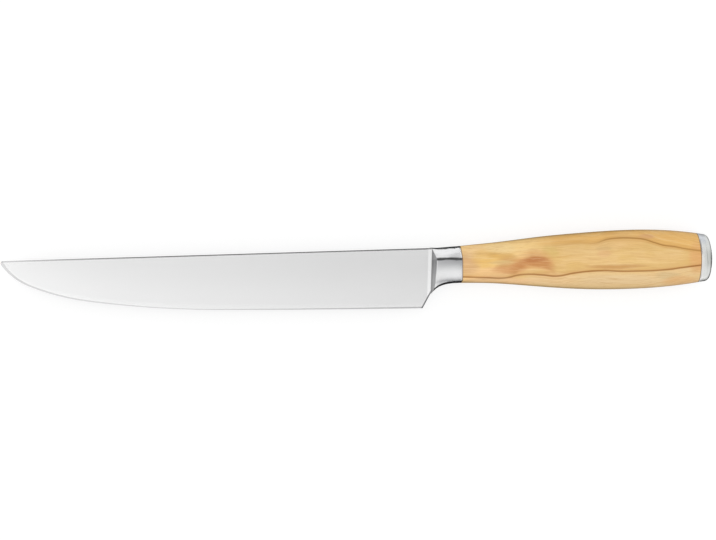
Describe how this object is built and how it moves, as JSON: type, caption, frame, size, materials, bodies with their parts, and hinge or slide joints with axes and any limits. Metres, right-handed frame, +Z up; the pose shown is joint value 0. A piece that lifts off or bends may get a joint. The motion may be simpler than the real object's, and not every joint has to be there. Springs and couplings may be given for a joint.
{
  "type": "carving knife",
  "caption": "Slim forged carving knife with a straight spine, curved belly, steel bolster, olive wood grip and steel end cap.",
  "frame": {"origin": "centre of the bottom of the knife's bounding box, with the knife lying on its side", "axes": "+X along the knife from the tip to the butt, +Y from the cutting edge to the spine, +Z up through the thickness"},
  "size_m": [0.3338, 0.0376, 0.0222],
  "materials": {
    "blade_steel": "fine satin ground blade, polished bolster",
    "olive_wood": "smooth oiled olive wood, closed grain",
    "cured_resin": "cast, hidden inside the grip",
    "cap_steel": "brushed across the handle"
  },
  "bodies": {
    "root": {"forged_blade": "blade_steel", "grip": "olive_wood", "tang_resin": "cured_resin", "end_cap": "cap_steel"}
  },
  "joints": []
}
